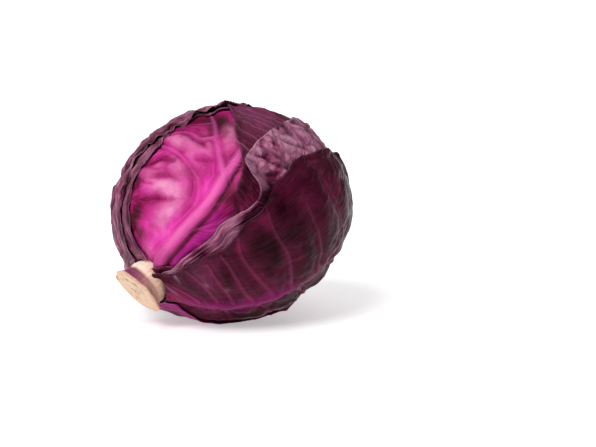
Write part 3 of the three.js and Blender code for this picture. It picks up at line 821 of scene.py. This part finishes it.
# Top leaf. A glossy maroon leaf over the crown of the head, with pale parallel streaks.
top = Leaf(
    "top", 3, azimuth=-105, clasp=60, cells=190, middle=(-4, 22), tip=(4, 130),
    right=[(26, -66), (44, -40), (58, -8), (66, 28), (66, 64), (44, 104)],
    left=[(-44, 120), (-76, 96), (-90, 72), (-88, 50), (-80, 32), (-72, 18), (-64, 11), (-58, 6),
          (-53, 0), (-49, -6), (-44, -12), (-38, -17), (-31, -24), (-27, -36), (-21, -50)],
    puff=1.3, valley=3.4, wrinkle=0.5, lift=(0.3, 0.8))
top.veins = [
    ([(-92, y), (-72, y + 0.02 * y), (-50, y + 0.03 * y - 1), (-24, y - 10), (2, y - 30)],
     (0.5, 0.9), (0.5, 0.8), (0.5, 0.2), 0.6) for y in (14, 25, 36, 43, 49, 57, 66, 77, 90)]


def top_relief(place, edge, spot):
    """Relief and marks of the top leaf: nearly black low down, and brighter streaks above."""
    ridge, pale, gap = top.vein_field(place)
    blade, cell = blade_relief(top, edge, gap, spot)
    # The cell tops are painted a little lighter: painted light.
    tone = 0.36 + 0.16 * noise(spot, 15, 50) + 0.1 * cell + patches(place, [
        (-72, 22, 14, 9, 0, -0.12), (-47, -2, 11, 15, 0, -0.4), (-62, 10, 8, 5, 0, 0.12),
        (-68, 60, 22, 14, 0, 0.15)])
    bloom_and_highlight = patches(place, [(-66, 52, 24, 16, 0, 0.3), (-60, 12, 7, 5, 0, 0.2)])
    bloom_and_highlight = np.clip(bloom_and_highlight * (0.6 + 0.6 * noise(spot, 8, 52)), 0, 1)
    grain = joined(place[:, 0] / 13, place[:, 1] / 1.2, 0)
    return ridge, blade, tone, 0 * tone, bloom_and_highlight, pale, grain


top.relief = top_relief
top.paint = leaf_paint(
    top, "2a0210 58092e 701b45 94406e",
    bloom_and_highlight="83466a", pale="a0608c", rim="a87890", gloss=0.36, dullness=0.55, folding=0.3,
    fold_scale=0.5, shine=0.1, rim_highlight_share=0.3)

# Right leaf. A dusty mauve leaf, puckered all over like a quilt between its net of veins.
right = Leaf(
    "right", 4, azimuth=-135, clasp=66, cells=200, middle=(-6, 10), tip=(-14, 104),
    right=[(30, -64), (50, -38), (62, -4), (62, 32), (46, 70), (20, 96)],
    left=[(-36, 99), (-54, 84), (-76, 60), (-87, 35), (-89, 16), (-87, 4), (-81, 2), (-74, 1),
          (-69, -3), (-66, -12), (-65, -22), (-62, -33), (-57, -39), (-51, -49), (-42, -60),
          (-31, -68)],
    puff=0.9, valley=3.5, wrinkle=0.45, lift=(1.1, 0.9))
right.veins = side_veins(1.0, 0.8, 0.7, 0.3)


def billows(place, wide, high, turn, seed):
    """The size of smooth noise: rounded pillows that meet in narrow creases where it crosses 0.
    They are as wide and high as given, along axes turned by an angle."""
    c, s = np.cos(np.radians(turn)), np.sin(np.radians(turn))
    x, y = c * place[:, 0] + s * place[:, 1], c * place[:, 1] - s * place[:, 0]
    return np.minimum(np.abs(noise(joined(x / wide, y / high, 0), 1.0, seed)) * 2.4, 1.2) ** 0.75


def right_relief(place, edge, spot):
    """Relief and marks of the right leaf: pillows between creases, folds that follow the margin
    near the stem, painted light on the pillow tops and fold ridges with painted shade in the
    creases, and a painted shadow in the hollow where the margin of the under leaf stands off."""
    ridge, pale, gap = right.vein_field(place)
    blade, _ = blade_relief(right, edge, gap, spot)
    y = place[:, 1]
    bent = place + 2.5 * noise(spot, 11, 60)[:, None]
    pillow = 0.62 * billows(bent, 9, 6.5, 25, 3) + 0.38 * billows(bent, 4.5, 8, 115, 5)
    quilt = smooth((y + 8) / 16)
    lines = 1 - np.abs(noise(joined(edge / 1.7, y / 18, 0), 1.0, 61)) * 2
    blade = blade + (2.6 * pillow - 1.9) * quilt * smooth(edge / 4 + 0.2)
    blade = blade + 0.8 * lines * (1 - quilt)
    # Painted shadow in the hollow under the under leaf's standing margin; it also takes the bloom and pale
    # veins away there.
    dark = patches(place, [(-71, 10, 5, 4, 0, 0.8), (-64, 0, 5, 5, 0, 1.0), (-61, -9, 5, 7, 20, 1.0),
                           (-56, -18, 4, 5, 0, 0.5)])
    # Painted light and shade: pillow tops lighter with more bloom, creases darker, and the margin folds
    # lighter on their ridges.
    light = (pillow - 0.6) * quilt
    tone = 0.46 + 0.75 * light + 0.25 * noise(spot, 9, 62) + 0.4 * lines * (1 - quilt) - 0.9 * dark
    tone = tone - 0.12 * (1 - quilt) - 0.15 * smooth((y - 52) / 12)
    bloom_and_highlight = 0.15 + 0.25 * quilt + 0.6 * light + 0.4 * noise(spot, 10, 63) - 1.2 * dark
    grain = joined(quilt * bent[:, 0] / 2.4 + (1 - quilt) * edge / 0.9,
                   quilt * bent[:, 1] / 3.2 + (1 - quilt) * y / 10, 0)
    return ridge, blade, tone, 0 * tone, np.clip(bloom_and_highlight, 0, 1), pale * (1 - np.clip(dark, 0, 1)), grain


right.relief = right_relief
right.paint = leaf_paint(
    right, "2c0414 661c40 954868 bc7e9c", stops=(0.0, 0.3, 0.6, 1.0),
    bloom_and_highlight="a87890", pale="ae7f98", rim="c8a4b2", gloss=0.45, dullness=0.68, folding=-0.4,
    fold_scale=0.45, rim_highlight_share=0.6)

# Outer left leaf. Lies over the left leaf, with a ruffled margin that makes the ragged outline.
outer_left = Leaf(
    "outer_left", 5, azimuth=95, clasp=70, cells=180, middle=(8, 0), tip=(14, 84),
    right=[(20, -77), (38, -72), (54, -61), (66, -46), (75, -30), (84, -14), (91, 6), (90, 30),
           (74, 58), (46, 76)],
    left=[(-18, 76), (-42, 58), (-56, 30), (-60, 0), (-54, -30), (-42, -54), (-30, -68)],
    puff=1.4, valley=4.5, wrinkle=0.5, lift=(0.7, 1.4), tuck=0.95)
outer_left.veins = side_veins(0.8, 1.0, 0.9, 0.3)
outer_left.relief = folded_relief(outer_left, 1.9, 28, [(6, -57, 8, 9, 0, 0.9)])
outer_left.paint = leaf_paint(
    outer_left, "26040f 561632 7f3556 a0607f",
    bloom_and_highlight="b07c94", pale="a06078", rim="b48e9c", gloss=0.48, dullness=0.68, folding=0.7,
    fold_scale=0.42, rim_highlight_share=0.35)

# Under leaf. A glossy maroon leaf that the head lies on. Its upper margin stands away from the
# leaves below it, and its midrib runs along the bottom of the head.
under = Leaf(
    "under", 6, azimuth=-130, clasp=74, cells=190, middle=(2, 0), tip=(6, 80),
    right=[(34, -62), (50, -38), (60, -8), (60, 22), (48, 52), (30, 72)],
    left=[(-22, 74), (-46, 56), (-61, 35), (-64, 17), (-62, 3), (-59, -4), (-57, -12), (-55, -20),
          (-51, -26), (-47, -32), (-44, -41), (-41, -49), (-33, -60), (-24, -67)],
    puff=1.9, valley=4.0, wrinkle=0.65, lift=(1.4, 0.9))
under_midrib = [(-3, -76), (-3, -64), (-3, -49), (-2, -29), (-4, -12), (-6, 10), (-6, 40)]
under.veins = [
    (under_midrib, (5.0, 1.6), (2.0, 0.8), (0.2, 0.1), 0.0),
    ([(-5, -16), (-12, -18), (-20, -21), (-31, -25), (-42, -27), (-50, -25)],
     (1.2, 0.8), (1.5, 0.8), (0.3, 0.15), 0.5),
    ([(-6, -27), (-17, -31), (-31, -34), (-42, -37)], (1.1, 0.7), (1.2, 0.7), (0.35, 0.2), 0.5),
    ([(-7, -37), (-15, -39), (-27, -43), (-37, -46)], (0.9, 0.6), (1.2, 0.7), (0.4, 0.25), 0.6),
    ([(-8, -45), (-14, -47), (-20, -49), (-26, -53), (-32, -58)], (0.8, 0.5), (1.1, 0.6), (0.45, 0.25), 0.6),
    ([(-7, -54), (-11, -60), (-13, -66), (-14, -72)], (0.7, 0.5), (0.9, 0.6), (0.7, 0.5), 0.5),
    ([(-5, -6), (-14, -6), (-28, -4), (-46, -6), (-58, -4)], (1.2, 0.7), (1.3, 0.6), (0.3, 0.15), 0.5),
    *((points, (width, 0.6), (rise, 0.5), (0.3, 0.15), 0.5) for width, rise, points in (
        (1.1, 1.1, [(-6, 10), (-16, 14), (-28, 16), (-46, 18)]),
        (1.1, 1.0, [(-6, 28), (-16, 34), (-28, 36), (-44, 38)]),
        (1.1, 1.1, [(-2, -26), (12, -18), (28, -12), (50, -10)]),
        (1.1, 1.1, [(-5, -4), (12, 4), (28, 10), (52, 14)]),
        (1.1, 1.0, [(-6, 16), (8, 26), (24, 34), (44, 40)]),
        (1.0, 1.0, [(-3, -44), (14, -38), (30, -35), (46, -38)]))),
]


def under_relief(place, edge, spot):
    """Relief and marks of the under leaf: its margin stands off most beside the hollow of the right
    leaf, where a shadow is painted, and a magenta band follows its midrib. Two small bloom patches
    are painted glints."""
    ridge, pale, gap = under.vein_field(place)
    blade, cell = blade_relief(under, edge, gap, spot)
    x, y = place.T
    blade = blade + 3.2 * bell((y + 12) / 12) * np.exp(-np.maximum(edge, 0) / 6) * (x < 0)
    blade = blade + patches(place, [(-23, -61, 4, 3, 0, 1.0), (-23, -61, 1.8, 1.4, 0, -0.8)])
    distance, _, _ = nearest(place, open_curve(under_midrib))
    band = bell(distance / 6.5) * smooth((6 - y) / 24)
    tone = 0.13 + 0.14 * noise(spot, 14, 70) + 0.16 * (1 - cell) * smooth(edge / 6)
    tone = tone + 0.3 * band + 0.1 * smooth((-34 - y) / 14) + patches(place, [
        (-44, -14, 8, 7, 0, -0.2), (-28, -38, 8, 5, 0, -0.15), (-52, -8, 5, 3, 0, 0.35),
        (-46, -27, 5, 3, 0, 0.25)])
    accent = 0.65 * band * smooth((y + 66) / 10)
    # Bloom patches; the two small ones at (-23, -49) and (-19, -39) are painted glints.
    bloom_and_highlight = patches(place, [
        (22, -69, 9, 5, 0, 0.9), (8, -72, 7, 4, 0, 0.5), (-24, -65, 3, 1.2, 30, 0.7),
        (-10, -70, 5, 1.0, 70, 0.7), (-30, -50, 12, 8, 0, 0.12), (-23, -49, 1.6, 1.0, 20, 0.5),
        (-19, -39, 1.8, 1.0, 20, 0.5)])
    return ridge, blade, tone, accent, bloom_and_highlight, pale, joined(x / 1.1, y / 13, 0)


under.relief = under_relief
under.paint = leaf_paint(
    under, "1e020a 480d26 6c1438 8c2258", stops=(0.0, 0.3, 0.6, 1.0),
    bloom_and_highlight="866080", pale="8c3c62", rim="8a5068", gloss=0.24, dullness=0.5, folding=-0.07,
    fold_scale=0.5, shine=0.04, accent="76085c")

# Back leaf. The outermost leaf, wrapped round the back and the underside of the head.
back = Leaf(
    "back", 7, azimuth=155, clasp=74, cells=180, middle=(2, 4), tip=(4, 88),
    right=[(32, -62), (46, -38), (54, -8), (56, 24), (48, 56), (30, 78)],
    left=[(-20, 80), (-38, 58), (-45, 28), (-42, -4), (-39, -34), (-30, -58)],
    puff=1.8, valley=4.4, wrinkle=0.4, lift=(1.2, 0.8))
back.veins = side_veins(0.7, 1.2, 1.0, 0.5)
# The back leaf's accent is painted reflected light from the table on its left margin.
back.relief = plain_relief(back, 0.5, 0.5, 1.0)
back.paint = leaf_paint(
    back, "26030f 520f2e 74204c 94406e",
    bloom_and_highlight="86506f", pale="a86c8c", rim="a87890", gloss=0.38, dullness=0.6, folding=-0.2,
    fold_scale=0.55, shine=0.1, accent="8e1268")

# The wrapped head. The leaves lie on the heart in layers, each a little less than a millimetre
# thick and held a gap above the one below. A covered leaf is pressed smooth, the margins stand
# up, and the head's weight flattens every layer where it rests on the table.
leaves = [front, crown, left, top, right, outer_left, under, back]
HEART_CLEARANCE = 0.35
LEAF_THICKNESS = 0.8
LEAF_GAP = 1.12
STALK_GAP = 0.45
STALK_REACH = 26
DRAPE_PLATEAU = 1.5
DRAPE_REACH = 6
COVER_FADE = 6
REST_ANGLE = 15
LIFT_WIDTH = 5
TUCK_WIDTH = 1.7
STALK_END = -78
STALK_FADE = 30
RIM_CROWDING = 0.72
THIN_WIDTH = 1.2
THIN_DEPTH = 0.22
UNDERSIDE = -0.5


def raised(leaf, place, edge, spot):
    """The leaf's rib and blade heights and its marks, with the margin's lift: height times one
    plus a wave, falling off with the distance from the margin. In places the very edge is tucked
    down onto the leaf below."""
    rib, blade, *marks = leaf.relief(place, edge, spot)
    lift, ruffle = leaf.lift
    wave = 1.6 * noise(spot, 13, leaf.order + 80) + noise(spot, 5, leaf.order + 90)
    wave = np.maximum(1 + ruffle * wave, 0)
    blade = blade + lift * wave * np.exp(-np.maximum(edge, 0) / LIFT_WIDTH)
    tucked = smooth(0.7 + 1.2 * noise(spot, 16, leaf.order + 70)) * bell(np.maximum(edge, 0) / TUCK_WIDTH)
    blade = blade - leaf.tuck * tucked
    stalk = smooth((place[:, 1] - STALK_END) / STALK_FADE)
    return rib, blade * stalk, *marks


def leaf_layers(own, direction):
    """Inner and outer radius of one leaf in each direction, with its marks. Going from the
    outermost leaf inwards gives how much of each relief shows. Going from the heart outwards
    adds a gap, a thickness and the relief for every leaf that covers the direction."""
    spot = direction * BALL_RADIUS
    shown = smooth((np.degrees(np.arccos(np.clip(-direction[:, 2], -1, 1))) - REST_ANGLE) / REST_ANGLE)
    found = {}
    for leaf in reversed(leaves):
        place = leaf.to_map(direction)
        edge = leaf.inset(place)
        cover = smooth((edge + DRAPE_PLATEAU + DRAPE_REACH) / DRAPE_REACH)
        rib, blade = np.zeros(len(place)), np.zeros(len(place))
        matters = (leaf.order < own.order) | (direction[:, 2] < UNDERSIDE)
        wanted = (cover > 0) & (shown > 0.003) & matters
        if leaf is own:
            wanted[:] = True
        if wanted.any():
            parts = raised(leaf, place[wanted], edge[wanted], spot[wanted])
            rib[wanted], blade[wanted] = parts[0] * shown[wanted], parts[1] * shown[wanted]
            if leaf is own:
                marks = parts[2:]
        found[leaf.order] = (edge, cover, rib, blade)
        shown = shown * (1 - smooth(edge / COVER_FADE))
    gap = LEAF_GAP + STALK_GAP * bell(angle_from_stem(direction) / STALK_REACH)
    radius = heart_radius(direction) + HEART_CLEARANCE
    highest = radius
    for leaf in leaves:
        edge, cover, rib, blade = found[leaf.order]
        inner = radius + gap + blade
        outer = inner + LEAF_THICKNESS + rib
        if leaf is own:
            kept = (inner, outer, edge)
        highest = np.where(edge > 0, outer, highest)
        radius = radius + cover * (gap + LEAF_THICKNESS + rib + blade)
    ground = CENTRE[2] / np.maximum(-direction[:, 2], 0.3)
    pressed = np.where(direction[:, 2] < UNDERSIDE, np.maximum(highest - ground, 0), 0)
    return kept[0] - pressed, kept[1] - pressed, kept[2], marks


def leaf_places(leaf):
    """A square grid wrapped onto the leaf: each square ring of the grid is the outline drawn in
    towards the leaf's middle, and the rings crowd together near the margin."""
    s = np.linspace(-1, 1, leaf.cells + 1)
    s = s + RIM_CROWDING * np.sin(np.pi * s) / np.pi
    a, b = np.meshgrid(s, s, indexing="ij")
    ring = np.maximum(np.abs(a), np.abs(b))
    wide = np.abs(a) >= np.abs(b)
    safe_a, safe_b = np.where(np.abs(a) < TINY, TINY, a), np.where(np.abs(b) < TINY, TINY, b)
    turn = np.where(wide, b / safe_a * np.pi / 4 + np.where(a < 0, np.pi, 0),
                    np.pi / 2 - a / safe_b * np.pi / 4 + np.where(b < 0, np.pi, 0))
    share = (turn / (2 * np.pi) + 0.25) % 1 * len(leaf.outline)
    loop = np.vstack([leaf.outline, leaf.outline[:1]])
    rim = joined(*(np.interp(share, np.arange(len(loop)), column) for column in loop.T))
    return leaf.middle + ring[..., None] * (rim - leaf.middle)


def around(size):
    """The grid places of a square's border, in order."""
    last = size - 1
    low, high = np.zeros(last, int), np.full(last, last)
    up, down = np.arange(last), np.arange(last, 0, -1)
    return np.concatenate([low, up, high, down]), np.concatenate([up, high, down, low])


def leaf_faces(size):
    """Faces of the outer skin at full density, the inner skin at half of it, and a rim that joins
    two outer edges to each inner one."""
    half = (size - 1) // 2 + 1
    outer = grid_quads(size, size, False)
    inner = size * size + grid_quads(half, half, False)[:, ::-1]
    row, column = around(size)
    ring = row * size + column
    row, column = around(half)
    low = size * size + row * half + column
    after = np.roll(low, -1)
    one, two, three = ring[0::2], ring[1::2], np.roll(ring, -2)[0::2]
    rim = [joined(one, two, low), joined(two, after, low), joined(two, three, after)]
    return [*outer, *inner, *np.concatenate(rim)]


for leaf in leaves:
    size = leaf.cells + 1
    direction = leaf.from_map(leaf_places(leaf).reshape(-1, 2))
    inner, outer, edge, (tone, accent, bloom_and_highlight, pale, grain) = leaf_layers(leaf, direction)
    edge = np.maximum(edge, 0)
    thin = (1 - smooth(edge / THIN_WIDTH)) * THIN_DEPTH
    # Painted highlight along the margin, broken up by noise.
    rim = bell(edge / 0.5) * smooth(0.55 + 0.9 * noise(direction * BALL_RADIUS, 12, leaf.order + 60))

    def halved(values):
        """Every second row and column of the values on the grid."""
        return values.reshape(size, size, -1)[::2, ::2].reshape(-1, *values.shape[1:])

    points = np.vstack([CENTRE + direction * (outer - thin)[:, None],
                        halved(CENTRE + direction * (inner + thin)[:, None])])
    points[:, 2] = np.maximum(points[:, 2], 0)
    marks = {"tone": np.clip(tone, 0, 1), "accent": accent, "bloom_and_highlight": bloom_and_highlight, "vein": pale, "rim": rim,
             "grain": grain}
    both_skins = {name: np.concatenate([values, halved(values)]) for name, values in marks.items()}
    add_piece(leaf.piece, leaf.node, points, leaf_faces(size), leaf.paint, **both_skins)
